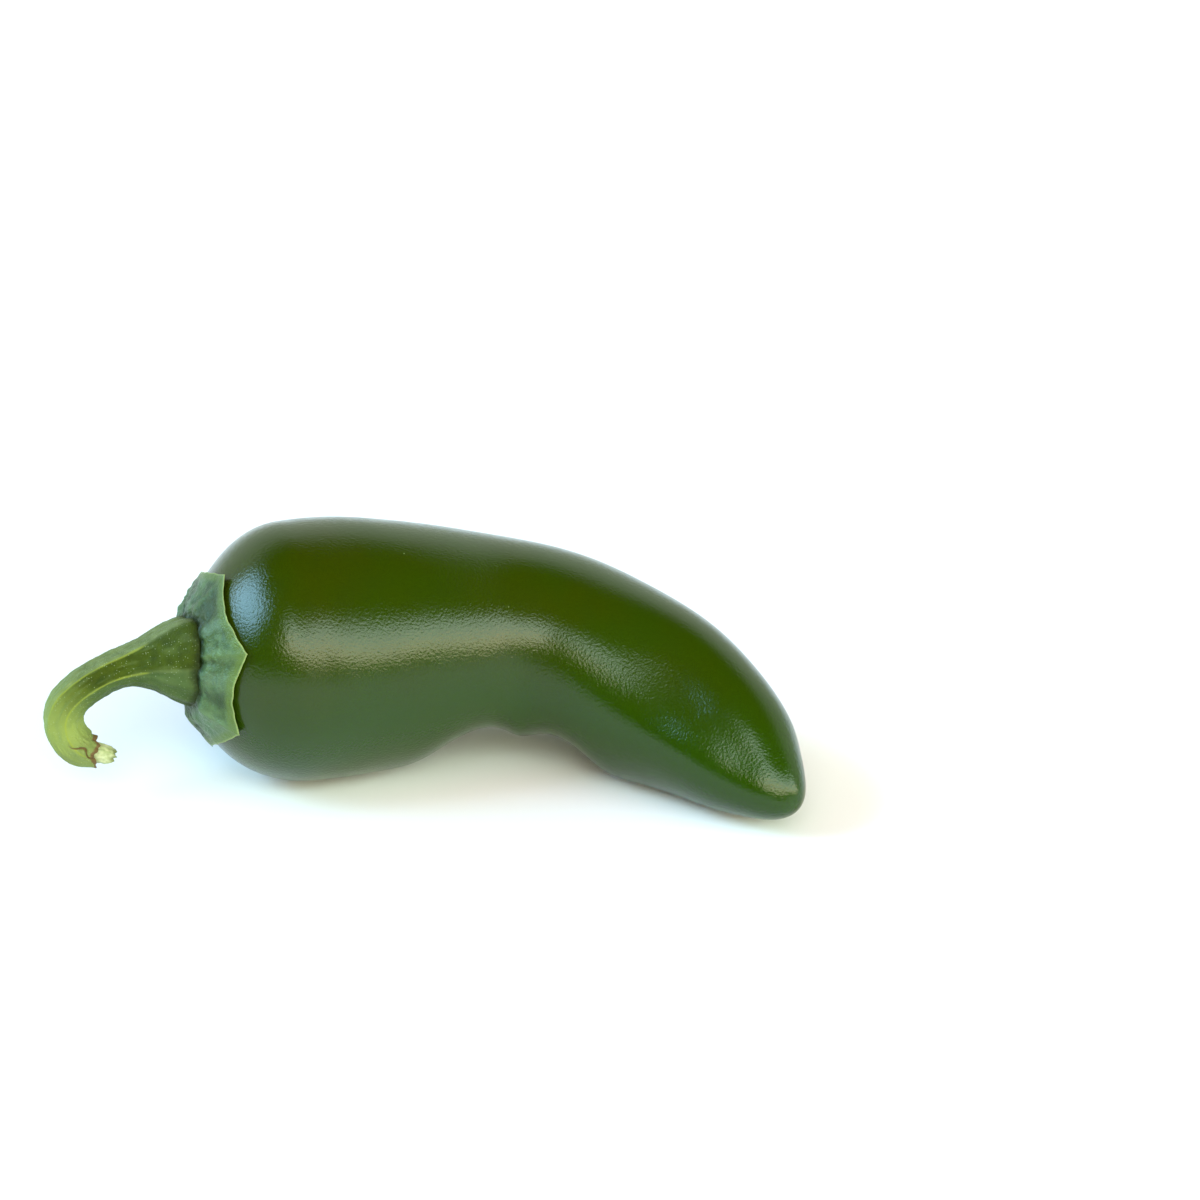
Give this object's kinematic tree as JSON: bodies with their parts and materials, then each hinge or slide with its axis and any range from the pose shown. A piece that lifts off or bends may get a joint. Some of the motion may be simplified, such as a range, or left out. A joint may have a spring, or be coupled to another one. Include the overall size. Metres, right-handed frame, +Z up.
{
  "type": "chilli pepper",
  "caption": "Whole green chilli pepper lying on its side: a smooth, bent, tapering pod with a leafy cap at its wide end and a hooked stem.",
  "frame": {"origin": "the point of the surface that the pepper lies on, under the middle of the box round it", "axes": "+Z up from the surface; +X along the pepper's longest extent, from the stem towards the pod's tip; the tip bends towards -Y"},
  "size_m": [0.0934, 0.0416, 0.0335],
  "materials": {
    "pod_skin": "waxy, glossy dark green skin",
    "calyx_leaf": "satin, wrinkled leaf green",
    "stem_bark": "satin, ridged green stem with pale specks",
    "stem_core": "matt, fibrous pale pith"
  },
  "bodies": {
    "root": {"pod": "pod_skin", "calyx": "calyx_leaf", "stem": "stem_bark", "stem_pith": "stem_core"}
  },
  "joints": []
}
